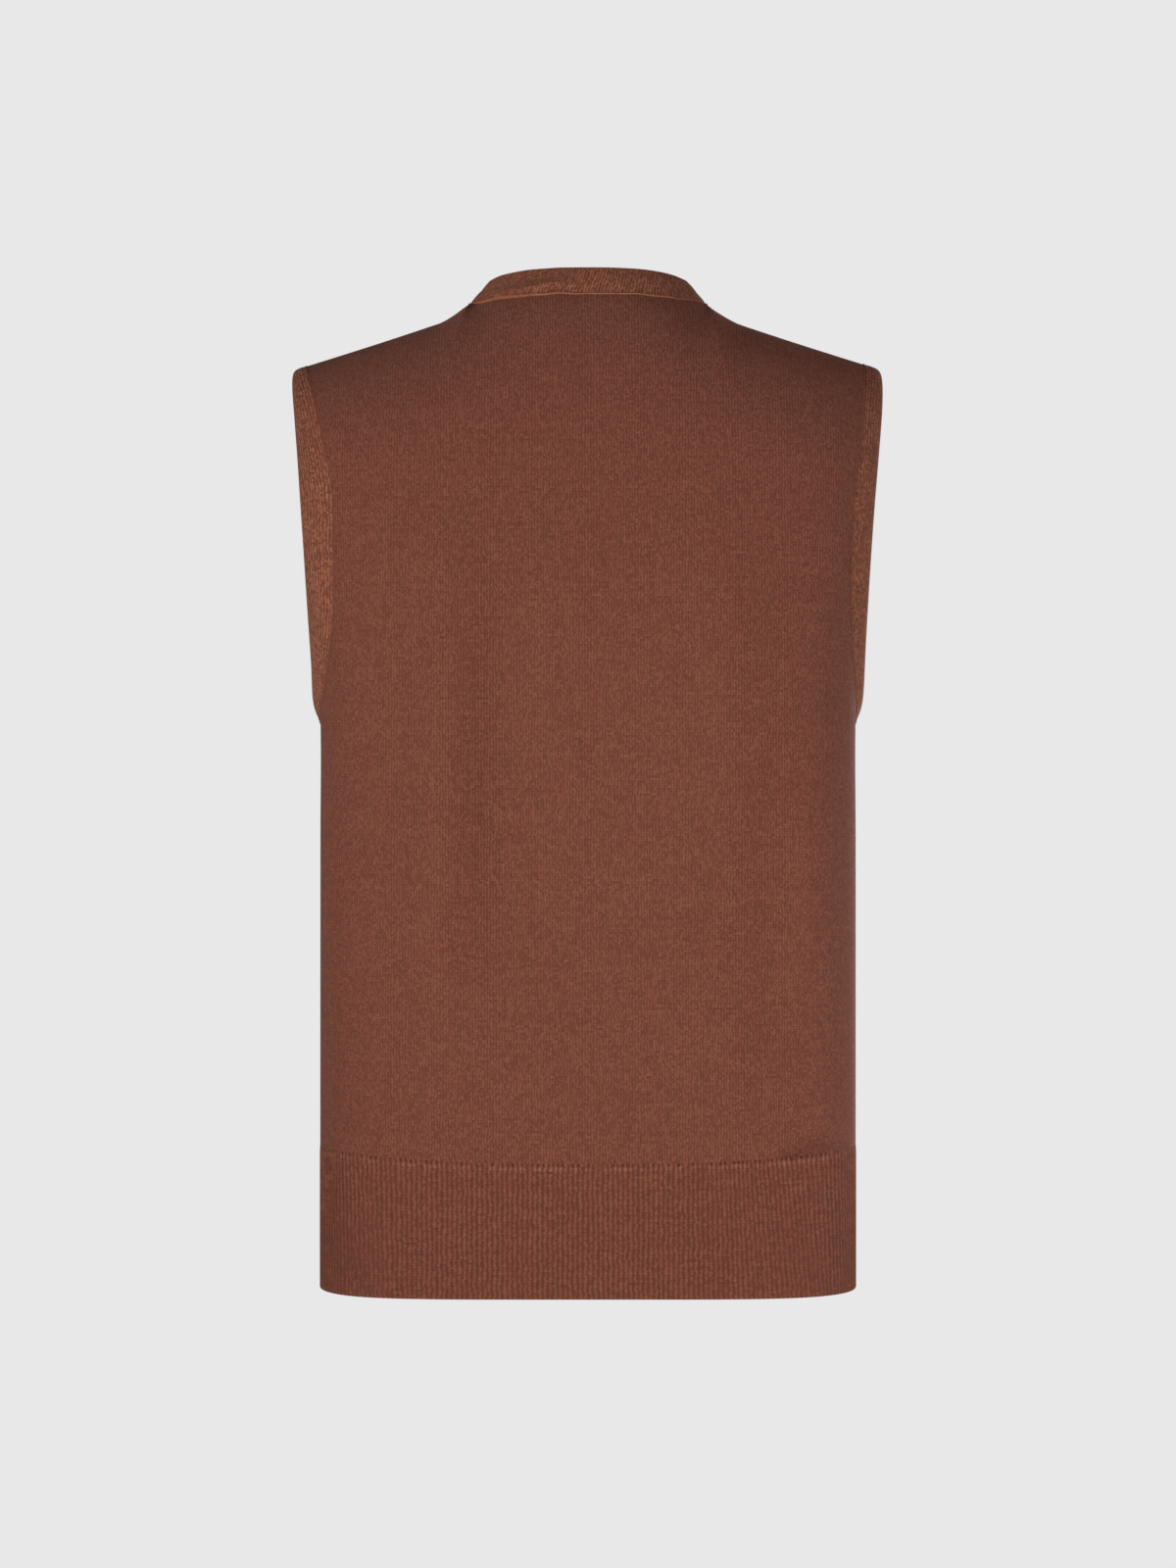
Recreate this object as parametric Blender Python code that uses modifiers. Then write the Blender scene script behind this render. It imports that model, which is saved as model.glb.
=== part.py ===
"""Sleeveless knitted sweater vest, worn shape, as hollow cloth walls.

Seven pieces: back and front panel, a ribbed hem for each, a neck band and
two armhole bands. Sizes are in millimetres and are turned into metres when a
mesh is made. The origin is the point between the shoulders where the wearer's
neck begins. +X is the wearer's left, -Y the front, +Z up.
"""

import math
from collections import namedtuple

import bmesh
import bpy
import numpy as np

MM = 0.001

# Heights, from the origin.
HEM = -655.0
RIB_TOP = -565.0
UNDERARM = -272.0
V_POINT = -195.0
YOKE = -110.0
ARM_MIDDLE = -150.0

# Cloth.
PANEL_WALL = 2.0
RIB_WALL = 2.4
BAND_WALL = 3.0
SEAM_GAP = 0.3

# The rib: how many ridges run across each half of the hem, and their height.
RIDGES = 152
RIDGE_HEIGHT = 0.6
RIDGES_PER_INNER_FACE = 4

# Armholes: how far each reaches back and forward, and how full its oval is. The
# left one is fuller below its middle at the back.
ARM_BACK_LEFT = 78.0
ARM_BACK_RIGHT = 71.0
ARM_FRONT = 68.0
ARM_POWER = 2.2
ARM_FULL_POWER = 2.7

# Armhole bands: width, how far the free edge stands out from the middle plane
# at the top and at the bottom, how much it is drawn in between, and how far it
# at least turns in towards the middle of the armhole.
ARM_BAND_WIDTH = 25.0
ARM_EDGE_TOP = 199.4
ARM_EDGE_BOTTOM = 185.5
ARM_EDGE_DISH = 1.8
ARM_LEAST_TURN_IN = 1.0
NECK_RAISE = 0.6
NECK_BULGE = 1.6
BAND_ROUNDING = 0.9
SHARP_EDGE = math.radians(50)

# Shoulder seam, from the side of the neck to the shoulder tip: a slope that sags
# a little in its middle and turns up over a short width where it reaches the neck.
SIDE_NECK = np.array((80.5, -2.0, 11.0))
TIP_HEIGHT = -30.8
TIP_LEFT = 191.0
TIP_RIGHT = 186.8
TIP_DEPTH = -4.0
SHOULDER_SLOPE = 0.324
SHOULDER_SAG = 0.5
NECK_TURN_WIDTH = 21.0
NECK_TURN_POWER = 1.5

# How the panels run over the shoulders: their slope at the back of the neck,
# the flat edge beside each seam, how far the curve keeps its direction from
# the yoke and from the shoulder seam, the drop over which the direction at the
# yoke is taken, and the share of the columns that end at the neck.
NECK_SLOPE = math.radians(52)
SEAM_FLAT = 3.0
BAND_FLAT = 1.5
RISE_SHARE = 0.50
RISE_STEP = 1.0
CROWN_SHARE = 0.55
SIDE_NECK_COLUMN = 0.4375

# Mesh sizes.
HALF_COLUMNS = 16
BODY_ROWS = 8
ARMPIT_ROWS = 7
CHEST_ROWS = 4
SHOULDER_ROWS = 7
BAND_FACES = 4
ARC_SAMPLES = 240
MERGE_DISTANCE = 0.00001

LEFT = 1
RIGHT = -1
BACK = 1
FRONT = -1

# Level sections: each is a superellipse with its own half width, its reach to
# the back and to the front, and its power.
Section = namedtuple("Section", "height half_width back front power")
SECTIONS = (
    Section(HEM, 180.6, 104.0, 102.0, 4.0),
    Section(RIB_TOP, 180.6, 106.0, 104.0, 4.0),
    Section(-450.0, 180.6, 107.0, 107.0, 3.9),
    Section(-350.0, 180.6, 108.0, 111.0, 3.8),
    Section(UNDERARM, 180.6, 109.0, 114.0, 3.7),
    Section(-230.0, 182.0, 109.0, 114.0, 3.7),
    Section(-190.0, 185.0, 108.0, 112.0, 3.7),
    Section(ARM_MIDDLE, 190.5, 105.0, 108.0, 3.6),
    Section(YOKE, 197.0, 99.5, 100.0, 3.4),
)

# Neck seam of the back, from its middle to the side of the neck.
Point = namedtuple("Point", "x y z")
BACK_NECK = (
    Point(0.0, 55.0, 13.7),
    Point(36.0, 51.5, 13.3),
    Point(55.0, 43.0, 12.1),
    Point(68.0, 29.0, 11.1),
    Point(76.5, 13.0, 10.8),
    Point(*SIDE_NECK),
)

# Free edge of the neck band, from the middle of the back to the middle of the
# V, and which of its points is beside the shoulder seam.
SIDE_NECK_POINT = 6
NECK_EDGE = (
    Point(0.0, 44.0, 32.8),
    Point(22.0, 43.0, 32.5),
    Point(45.0, 37.0, 31.0),
    Point(57.0, 29.0, 29.0),
    Point(64.0, 17.5, 27.2),
    Point(67.5, 6.0, 26.0),
    Point(68.5, -5.0, 24.0),
    Point(66.0, -32.0, 13.0),
    Point(53.5, -70.0, -20.0),
    Point(36.5, -93.0, -64.0),
    Point(21.0, -103.5, -102.0),
    Point(0.0, -109.0, -144.0),
)

# The armhole bands' form, by the angle round the armhole from its top: how much
# they bulge, how square they turn down from the shoulder, from 0 to 1, and how
# far their seam edge is raised over the panel.
Form = namedtuple("Form", "angle depth corner raised")
ARM_FORM = (
    Form(0.0, 5.0, 1.0, 0.2),
    Form(30.0, 5.0, 0.8, 0.4),
    Form(60.0, 5.0, 0.3, 0.8),
    Form(90.0, 5.0, 0.0, 1.0),
    Form(135.0, 4.5, 0.0, 1.2),
    Form(180.0, 4.0, 0.0, 2.2),
)

# The square turn: how far straight on its corner lies, as a share of the way
# that the free edge goes in the same direction, and how hard it pulls the band.
CORNER_REACH = 0.72
CORNER_WEIGHT = 1.6

# Soft folds. Each runs down a line on one panel and fades at both ends, and
# within a short way of a side seam. A ridge has a positive depth and a trough a
# negative one.
SEAM_CALM = 40.0
Fold = namedtuple("Fold", "face top_x top_z low_x low_z spread depth")
FOLDS = (
    Fold(BACK, 84.0, -80.0, 108.0, -550.0, 22.0, 8.0),
    Fold(BACK, 48.0, -130.0, 60.0, -560.0, 23.0, -6.5),
    Fold(BACK, -84.0, -70.0, -108.0, -470.0, 25.0, 6.5),
    Fold(BACK, -108.0, -280.0, -58.0, -555.0, 18.0, 6.0),
    Fold(BACK, -140.0, -310.0, -112.0, -555.0, 17.0, -5.0),
    Fold(BACK, -86.0, -110.0, -14.0, -300.0, 16.0, 2.8),
    Fold(BACK, 144.0, -110.0, 142.0, -562.0, 20.0, -3.0),
    Fold(BACK, -150.0, -150.0, -152.0, -563.0, 26.0, 8.0),
    Fold(FRONT, 96.0, -230.0, 104.0, -500.0, 18.0, -2.4),
    Fold(FRONT, -60.0, -260.0, -84.0, -470.0, 17.0, 1.8),
    Fold(FRONT, -112.0, -240.0, -100.0, -420.0, 16.0, -2.0),
    Fold(FRONT, 30.0, -300.0, 16.0, -520.0, 18.0, 1.6),
)

# Linear colour and roughness of each knit.
COLOURS = {
    "body": ((0.191, 0.065, 0.042, 1.0), 0.92),
    "rib": ((0.168, 0.060, 0.038, 1.0), 0.92),
    "band": ((0.222, 0.083, 0.050, 1.0), 0.9),
}


def hermite(keys, values, at):
    """A smooth curve through values at keys, with slopes from the neighbours."""
    keys = np.asarray(keys, float)
    values = np.asarray(values, float)
    slopes = np.gradient(values, keys, axis=0)
    last = len(keys) - 2
    i = int(np.clip(np.searchsorted(keys, at, side="right") - 1, 0, last))
    step = keys[i + 1] - keys[i]
    t = (at - keys[i]) / step
    ends = (2 * t**3 - 3 * t**2 + 1) * values[i] + (3 * t**2 - 2 * t**3) * values[i + 1]
    leans = (t**3 - 2 * t**2 + t) * slopes[i] + (t**3 - t**2) * slopes[i + 1]
    return ends + step * leans


def section_value(column, z):
    """A column of the section table at any height."""
    heights = [row.height for row in SECTIONS]
    return float(hermite(heights, [getattr(row, column) for row in SECTIONS], z))


def chord_lengths(points):
    """Distance along a chain of points, from its first point."""
    steps = np.linalg.norm(np.diff(points, axis=0), axis=1)
    return np.concatenate(([0.0], np.cumsum(steps)))


def along(points, shares):
    """Points of a smooth curve through a chain, at shares of its length."""
    points = np.asarray(points, float)
    lengths = chord_lengths(points)
    return np.array([hermite(lengths, points, share * lengths[-1]) for share in shares])


def whole_neck(half):
    """A chain from the right side of the neck to the left, from its left half."""
    left = np.array(half, float)
    right = left[:0:-1] * (-1, 1, 1)
    return np.vstack((right, left))


def armhole_reach(z, face, side):
    """How far the armhole is cut into a panel at a height, from the side seam."""
    if z <= UNDERARM:
        return SEAM_GAP / 2
    reach = ARM_FRONT
    if face == BACK:
        reach = ARM_BACK_LEFT if side == LEFT else ARM_BACK_RIGHT
    end = UNDERARM if z < ARM_MIDDLE else TIP_HEIGHT
    share = (z - ARM_MIDDLE) / (end - ARM_MIDDLE)
    full = face == BACK and side == LEFT and z < ARM_MIDDLE
    power = ARM_FULL_POWER if full else ARM_POWER
    return max(reach * (1 - share**power) ** (1 / power), SEAM_GAP / 2)


def neck_edge_x(z):
    """Half width of the V opening at a height below the yoke."""
    return SIDE_NECK[0] * max(z - V_POINT, 0.0) / (SIDE_NECK[2] - V_POINT)


def level_row(z, face, side, shares):
    """Points of a level row of half a panel, at shares from its inner end.

    Beside the armhole the outer columns close up, so that the inner ones keep
    their places from row to row.
    """
    width = section_value("half_width", z)
    depth = section_value("back" if face == BACK else "front", z)
    power = section_value("power", z)
    inner = neck_edge_x(z) / width if face == FRONT else 0.0
    first = math.atan2(inner, (1 - inner**power) ** (1 / power))
    outer = SEAM_GAP / 2 / depth
    final = math.atan2((1 - outer**power) ** (1 / power), outer)
    angle = np.linspace(first, final, ARC_SAMPLES)
    reach = (np.cos(angle) ** power + np.sin(angle) ** power) ** (-1 / power)
    x = width * reach * np.sin(angle)
    y = depth * reach * np.cos(angle)
    length = chord_lengths(np.column_stack((x, y)))
    shares = np.asarray(shares)
    cut = length[-1] - np.interp(-armhole_reach(z, face, side), -y, length)
    at = shares * length[-1] - shares**2 * cut
    row = np.empty((len(at), 3))
    row[:, 0] = side * np.interp(at, length, x)
    row[:, 1] = face * np.interp(at, length, y)
    row[:, 2] = z
    return row


def shoulder_point(share, face, side):
    """Point of the shoulder seam, at a share from the neck to the tip."""
    tip = TIP_LEFT if side == LEFT else TIP_RIGHT
    x = SIDE_NECK[0] + share * (tip - SIDE_NECK[0])
    y = SIDE_NECK[1] + share * (TIP_DEPTH - SIDE_NECK[1])
    slope = TIP_HEIGHT + SHOULDER_SLOPE * (TIP_LEFT - x)
    neck_slope = TIP_HEIGHT + SHOULDER_SLOPE * (TIP_LEFT - SIDE_NECK[0])
    nearness = max(1 - (x - SIDE_NECK[0]) / NECK_TURN_WIDTH, 0.0)
    turn_up = (SIDE_NECK[2] - neck_slope) * nearness**NECK_TURN_POWER
    sag = SHOULDER_SAG * math.sin(math.pi * share)
    return np.array((side * x, y + face * SEAM_GAP / 2, slope + turn_up - sag))


def top_of_column(share, face, side, neck):
    """Where a column ends, and how steeply it gets there."""
    if face == FRONT:
        return shoulder_point(share, face, side), 0.0
    if share >= SIDE_NECK_COLUMN:
        on_shoulder = (share - SIDE_NECK_COLUMN) / (1 - SIDE_NECK_COLUMN)
        return shoulder_point(on_shoulder, face, side), 0.0
    round_neck = share / SIDE_NECK_COLUMN
    point = along(neck, [0.5 + side * round_neck / 2])[0]
    return point, NECK_SLOPE * (1 - round_neck**2)


def fold_depth(face, point):
    """How far the folds push a panel out at a point."""
    x, y, z = point
    total = 0.0
    for fold in FOLDS:
        if fold.face != face:
            continue
        line = np.array((fold.low_x - fold.top_x, fold.low_z - fold.top_z))
        offset = np.array((x - fold.top_x, z - fold.top_z))
        share = float(offset @ line) / float(line @ line)
        if not 0 < share < 1:
            continue
        away = abs(float(offset[0] * line[1] - offset[1] * line[0])) / np.linalg.norm(line)
        total += fold.depth * math.sin(math.pi * share) ** 2 * math.exp(-((away / fold.spread) ** 2))
    return total * min(abs(y) / SEAM_CALM, 1.0)


def row_heights():
    """Heights of the level rows, from the rib to the yoke, closer at the armpit."""
    body = np.linspace(RIB_TOP, UNDERARM, BODY_ROWS + 1)
    turn = np.linspace(0.0, math.pi / 2, ARMPIT_ROWS + 1)[1:]
    armpit = UNDERARM + (V_POINT - UNDERARM) * (1 - np.cos(turn))
    chest = np.linspace(V_POINT, YOKE, CHEST_ROWS + 1)[1:]
    return np.concatenate((body, armpit, chest))


def half_panel(face, side):
    """Points of half a panel: rows from the rib up, columns from the middle out."""
    shares = np.linspace(0.0, 1.0, HALF_COLUMNS + 1)
    rows = [level_row(z, face, side, shares) for z in row_heights()]
    yoke = rows[-1]
    below = level_row(YOKE - RISE_STEP, face, side, shares)
    neck = whole_neck(BACK_NECK)
    tops = [top_of_column(share, face, side, neck) for share in shares]
    for step in np.linspace(0.0, 1.0, SHOULDER_ROWS + 1)[1:]:
        row = []
        for start, under, (seam, slope) in zip(yoke, below, tops):
            back = np.array((0.0, face * math.cos(slope), -math.sin(slope)))
            end = seam + SEAM_FLAT * back
            rise = end[2] - start[2]
            crown = CROWN_SHARE * abs(start[1] - end[1])
            first = start + RISE_SHARE * rise * (start - under)
            second = end + crown * back
            stay = 1 - step
            point = stay**3 * start + 3 * stay**2 * step * first
            point = point + 3 * stay * step**2 * second + step**3 * end
            row.append(point)
        rows.append(np.array(row))
    rows.append(np.array([seam for seam, slope in tops]))
    points = np.array(rows)
    for point in points.reshape(-1, 3):
        point[1] += face * fold_depth(face, point)
    return points


def add_grid(mesh, points):
    """A surface through rows of points, made from a Blender grid."""
    rows, columns = points.shape[:2]
    made = bmesh.ops.create_grid(mesh, x_segments=columns - 1, y_segments=rows - 1, size=0.5)
    verts = np.empty((rows, columns), object)
    for vert in made["verts"]:
        column = round((vert.co.x + 0.5) * (columns - 1))
        row = round((vert.co.y + 0.5) * (rows - 1))
        vert.co = points[row, column] * MM
        verts[row, column] = vert
    return verts


def material(kind):
    """A matt knit colour."""
    found = bpy.data.materials.get(kind)
    if found:
        return found
    colour, roughness = COLOURS[kind]
    made = bpy.data.materials.new(kind)
    made.use_nodes = True
    shader = made.node_tree.nodes["Principled BSDF"]
    shader.inputs["Base Color"].default_value = colour
    shader.inputs["Roughness"].default_value = roughness
    shader.inputs["Metallic"].default_value = 0.0
    made.diffuse_color = colour
    return made


def add_object(name, mesh, kind, collection):
    """Turns an edited mesh into a smooth named object."""
    data = bpy.data.meshes.new(name)
    mesh.to_mesh(data)
    mesh.free()
    data.shade_smooth()
    data.materials.append(material(kind))
    made = bpy.data.objects.new(name, data)
    collection.objects.link(made)
    return made


def add_wall(piece, thickness):
    """Gives an open surface its thickness, on the inside."""
    wall = piece.modifiers.new("wall", "SOLIDIFY")
    wall.thickness = thickness * MM
    wall.offset = -1.0
    wall.use_even_offset = True
    wall.use_quality_normals = True


def whole_row(left, right, face):
    """A row from its two halves, in the order that faces outwards."""
    if face == BACK:
        return np.concatenate((left[:0:-1], right))
    return np.concatenate((right[:0:-1], left))


def build_back(collection, halves):
    """The back is one surface from armhole to armhole."""
    rows = [whole_row(left, right, BACK) for left, right in zip(halves[LEFT], halves[RIGHT])]
    mesh = bmesh.new()
    add_grid(mesh, np.array(rows))
    add_wall(add_object("back_panel", mesh, "body", collection), PANEL_WALL)


def build_front(collection, halves):
    """The front is two surfaces that join below the V."""
    mesh = bmesh.new()
    add_grid(mesh, halves[RIGHT][:, ::-1])
    add_grid(mesh, halves[LEFT])
    bmesh.ops.remove_doubles(mesh, verts=mesh.verts[:], dist=MERGE_DISTANCE)
    add_wall(add_object("front_panel", mesh, "body", collection), PANEL_WALL)


def outward(row, face):
    """Level directions square to a row of points."""
    tangent = np.gradient(row, axis=0)
    normal = np.column_stack((tangent[:, 1], -tangent[:, 0], np.zeros(len(row))))
    normal /= np.linalg.norm(normal, axis=1)[:, None]
    facing = np.sign(np.sum(normal[:, 1]) * face)
    return normal * facing


def build_rib(name, face, collection):
    """A hem half: fine ridges outside, few plain faces inside."""
    columns = 2 * RIDGES
    half = np.linspace(0.0, 1.0, RIDGES + 1)
    heights = (HEM, (HEM + RIB_TOP) / 2, RIB_TOP - SEAM_GAP)
    inner_step = 2 * RIDGES_PER_INNER_FACE
    ridge = np.where(np.arange(columns + 1) % 2 == 1, 0.5, -0.5) * RIDGE_HEIGHT
    outside = []
    inside = []
    for z in heights:
        row = whole_row(level_row(z, face, LEFT, half), level_row(z, face, RIGHT, half), face)
        normal = outward(row, face)
        outside.append(row + normal * ridge[:, None])
        inside.append((row - normal * RIB_WALL)[::inner_step])
    mesh = bmesh.new()
    outer = add_grid(mesh, np.array(outside))
    inner = add_grid(mesh, np.array(inside)[:, ::-1])[:, ::-1]
    for level in (0, -1):
        for j in range(inner.shape[1] - 1):
            ridges = list(outer[level, j * inner_step : (j + 1) * inner_step + 1])
            mesh.faces.new(ridges + [inner[level, j + 1], inner[level, j]])
    for column in (0, -1):
        for i in range(len(heights) - 1):
            outside_pair = [outer[i, column], outer[i + 1, column]]
            mesh.faces.new(outside_pair + [inner[i + 1, column], inner[i, column]])
    bmesh.ops.recalc_face_normals(mesh, faces=mesh.faces[:])
    add_object(name, mesh, "rib", collection)


def unit(vectors):
    """Vectors cut to a length of one."""
    return vectors / np.linalg.norm(vectors, axis=1)[:, None]


def band_strip(seam, inside, free, bulge, corner, raised):
    """Points across a band that leaves a panel's edge and ends at a free edge.

    `inside` holds a point of the panel near each seam point, `bulge` how far
    the strip's crown stands off the straight line between its two edges,
    `corner` how far the crown moves to a point straight on from the panel, and
    `raised` how high the seam edge stands over the panel.
    """
    bulge, corner, raised = [np.asarray(values)[:, None] for values in (bulge, corner, raised)]
    tangent = unit(np.roll(seam, -1, axis=0) - np.roll(seam, 1, axis=0))
    normal = unit(np.cross(tangent, seam - inside))
    towards = unit(np.cross(normal, tangent))
    forward = np.sign(np.sum(towards * (seam - inside), axis=1))[:, None]
    towards = towards * forward
    root = seam + towards * SEAM_GAP + normal * raised
    start = root + towards * BAND_FLAT
    across = unit(free - start)
    crown_side = np.cross(tangent, across)
    crown_side = unit(crown_side * np.sign(np.sum(crown_side * normal, axis=1))[:, None])
    crown = (start + free) / 2 + crown_side * bulge
    reach = CORNER_REACH * np.sum((free - start) * towards, axis=1)[:, None]
    straight_on = start + towards * reach
    crown = crown + corner * (straight_on - crown)
    rows = [root]
    for t in np.linspace(0.0, 1.0, BAND_FACES + 1):
        stay = (1 - t) ** 2
        turn = 2 * t * (1 - t) * (1 + CORNER_WEIGHT * corner)
        rows.append((stay * start + turn * crown + t**2 * free) / (stay + turn + t**2))
    return np.array(rows)


def build_band(name, strip, collection):
    """Closes a strip into a ring of folded cloth with round edges."""
    ring = np.concatenate((strip, strip[:, :1]), axis=1)
    mesh = bmesh.new()
    add_grid(mesh, ring)
    bmesh.ops.remove_doubles(mesh, verts=mesh.verts[:], dist=MERGE_DISTANCE)
    piece = add_object(name, mesh, "band", collection)
    add_wall(piece, BAND_WALL)
    rounding = piece.modifiers.new("rounding", "BEVEL")
    rounding.width = BAND_ROUNDING * MM
    rounding.segments = 2
    rounding.limit_method = "ANGLE"
    rounding.angle_limit = SHARP_EDGE
    piece.data.set_sharp_from_angle(angle=SHARP_EDGE)


def armhole_ring(backs, fronts, side):
    """Seam points round an armhole, so ordered that its outside is on the outside."""
    first = BODY_ROWS
    back = backs[side]
    front = fronts[side]
    seam = np.concatenate((back[:first:-1, -1], front[first:-1, -1]))
    inside = np.concatenate((back[-2 : first - 1 : -1, -2], front[first - 1 : -2, -2]))
    order = -1 if side == LEFT else 1
    return seam[::order], inside[::order]


def armhole_edge(seam, side):
    """Free edge of an armhole band, and its bulge, corner and raised edge."""
    reach = max(ARM_BACK_LEFT, ARM_FRONT)
    half_height = ARM_MIDDLE - UNDERARM
    turn = np.arctan2(seam[:, 1] / reach, (seam[:, 2] - ARM_MIDDLE) / half_height)
    share = (TIP_HEIGHT - seam[:, 2]) / (TIP_HEIGHT - UNDERARM)
    out = ARM_EDGE_TOP + share * (ARM_EDGE_BOTTOM - ARM_EDGE_TOP)
    out = out - ARM_EDGE_DISH * np.sin(turn) ** 2
    step = out - np.abs(seam[:, 0])
    inward = np.sqrt(np.maximum(ARM_BAND_WIDTH**2 - step**2, ARM_LEAST_TURN_IN**2))
    edge = seam.copy()
    edge[:, 0] = side * out
    edge[:, 1] -= inward * np.sin(turn)
    edge[:, 2] -= inward * np.cos(turn)
    angles = [row.angle for row in ARM_FORM]
    forms = [row[1:] for row in ARM_FORM]
    form = np.array([hermite(angles, forms, angle) for angle in np.degrees(np.abs(turn))])
    return edge, *np.maximum(form, 0.0).T


def neck_half(back, front, side):
    """Seam, nearby panel points and free edge, from the V to the middle of the back."""
    columns = round(HALF_COLUMNS * SIDE_NECK_COLUMN)
    first = BODY_ROWS + ARMPIT_ROWS
    climb = front[first:, 0]
    seam = np.vstack((climb[:-1], back[-1, columns::-1]))
    below_v = front[first - 1, :1]
    on_shoulder = back[-1, columns + 1 : columns + 2]
    inside = np.vstack((below_v, front[first + 1 : -1, 1], on_shoulder, back[-2, columns - 1 :: -1]))
    half = np.array(NECK_EDGE)
    lengths = chord_lengths(half)
    turn = lengths[SIDE_NECK_POINT]
    risen = chord_lengths(climb)
    before = lengths[-1] - risen[:-1] / risen[-1] * (lengths[-1] - turn)
    behind = np.linspace(turn, 0.0, columns + 1)
    chain = np.vstack((half[:0:-1] * (-1, 1, 1), half))
    places = np.concatenate((-lengths[:0:-1], lengths))
    stations = np.concatenate((before, behind))
    free = np.array([hermite(places, chain, side * station) for station in stations])
    return seam, inside, free


def neck_ring(backs, fronts):
    """Seam, nearby panel points and free edge all round the neck."""
    left = neck_half(backs[LEFT], fronts[LEFT], LEFT)
    right = neck_half(backs[RIGHT], fronts[RIGHT], RIGHT)
    return [np.vstack((up, down[-2:0:-1])) for up, down in zip(left, right)]


def clear_scene():
    """Removes what a new file holds."""
    for old in list(bpy.data.objects):
        bpy.data.objects.remove(old, do_unlink=True)


def build_vest():
    """Makes every piece of the vest."""
    clear_scene()
    collection = bpy.data.collections.new("sweater_vest")
    bpy.context.scene.collection.children.link(collection)
    backs = {side: half_panel(BACK, side) for side in (LEFT, RIGHT)}
    fronts = {side: half_panel(FRONT, side) for side in (LEFT, RIGHT)}
    build_back(collection, backs)
    build_front(collection, fronts)
    build_rib("hem_rib_back", BACK, collection)
    build_rib("hem_rib_front", FRONT, collection)
    for side, name in ((LEFT, "armhole_band_left"), (RIGHT, "armhole_band_right")):
        seam, inside = armhole_ring(backs, fronts, side)
        build_band(name, band_strip(seam, inside, *armhole_edge(seam, side)), collection)
    seam, inside, edge = neck_ring(backs, fronts)
    count = len(seam)
    form = ([NECK_BULGE] * count, [0.0] * count, [NECK_RAISE] * count)
    build_band("neck_band", band_strip(seam, inside, edge, *form), collection)


build_vest()
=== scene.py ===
# %% [markdown]
# # A knitted sweater vest
#
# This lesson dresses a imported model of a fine-gauge vest as real knitwear. The
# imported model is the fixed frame: seven plain walls of cloth, in metres, with
# +X the wearer's left, -Y the front and +Z up. Every piece made here is a finer
# sheet of cloth on the form of one of those walls, and stands for it.

# %% Load the frame
import math
from collections import namedtuple

import bmesh
import bpy
import numpy as np
from mathutils import Matrix, Vector, noise


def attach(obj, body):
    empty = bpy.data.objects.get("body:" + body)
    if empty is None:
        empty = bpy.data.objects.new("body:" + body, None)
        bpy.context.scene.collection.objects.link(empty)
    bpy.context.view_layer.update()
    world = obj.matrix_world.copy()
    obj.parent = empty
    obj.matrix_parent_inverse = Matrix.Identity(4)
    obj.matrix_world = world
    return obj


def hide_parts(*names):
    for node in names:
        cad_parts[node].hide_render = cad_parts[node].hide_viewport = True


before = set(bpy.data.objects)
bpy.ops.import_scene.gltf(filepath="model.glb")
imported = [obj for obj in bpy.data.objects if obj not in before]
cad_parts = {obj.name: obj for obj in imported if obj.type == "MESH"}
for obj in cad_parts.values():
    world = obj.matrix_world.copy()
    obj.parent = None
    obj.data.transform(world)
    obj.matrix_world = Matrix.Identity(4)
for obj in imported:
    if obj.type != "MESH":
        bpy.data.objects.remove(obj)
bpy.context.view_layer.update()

MM = 0.001
print("nodes:", sorted(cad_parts))

# %% [markdown]
# ## The sizes that drive the vest
#
# A knitter works from a few heights: the hem, the top of the rib, the armpit,
# the point of the V and the yoke, where the back begins to turn over the
# shoulders. They are kept in millimetres, because that is how a vest is
# measured, and become metres only when a vertex is placed.

# %% Heights, armholes and shoulders
HEM = -655.0
RIB_TOP = -565.0
UNDERARM = -272.0
V_POINT = -195.0
ARM_MIDDLE = -150.0
YOKE = -110.0

LEFT, RIGHT = 1, -1
BACK, FRONT = 1, -1
SIDES = ((LEFT, "left"), (RIGHT, "right"))
FACES = (BACK, FRONT)
SEAM_GAP = 0.3

ARM_REACH = {(BACK, LEFT): 78.0, (BACK, RIGHT): 71.0, (FRONT, LEFT): 68.0, (FRONT, RIGHT): 68.0}
ARM_POWER = 2.2
ARM_FULL_POWER = 2.7

SIDE_NECK = np.array((80.5, -2.0, 11.0))
TIP_HEIGHT = -30.8
TIP_OUT = {LEFT: 191.0, RIGHT: 186.8}
TIP_DEPTH = -4.0
SHOULDER_SLOPE = 0.324
SHOULDER_SAG = 0.5
NECK_TURN_WIDTH = 21.0
NECK_TURN_POWER = 1.5

# %% [markdown]
# ## Smooth curves through a few values
#
# A short table is easy to read and to change, but it has corners. A Hermite
# curve passes through every row of the table with a slope taken from its
# neighbours, so the cloth between two rows is smooth.

# %% A curve through a table
def curve(keys, values, at):
    """Values at the places `at` on a smooth curve through the rows of a table."""
    keys = np.asarray(keys, float)
    values = np.asarray(values, float)
    at = np.atleast_1d(np.asarray(at, float))
    slopes = np.gradient(values, keys, axis=0)
    i = np.clip(np.searchsorted(keys, at, side="right") - 1, 0, len(keys) - 2)
    step = keys[i + 1] - keys[i]
    t = (at - keys[i]) / step
    if values.ndim == 2:
        step, t = step[:, None], t[:, None]
    ends = (2 * t**3 - 3 * t**2 + 1) * values[i] + (3 * t**2 - 2 * t**3) * values[i + 1]
    return ends + step * ((t**3 - 2 * t**2 + t) * slopes[i] + (t**3 - t**2) * slopes[i + 1])


def lengths_along(points):
    """How far along a chain each of its points is."""
    steps = np.linalg.norm(np.diff(points, axis=0), axis=1)
    return np.concatenate(([0.0], np.cumsum(steps)))


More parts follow.
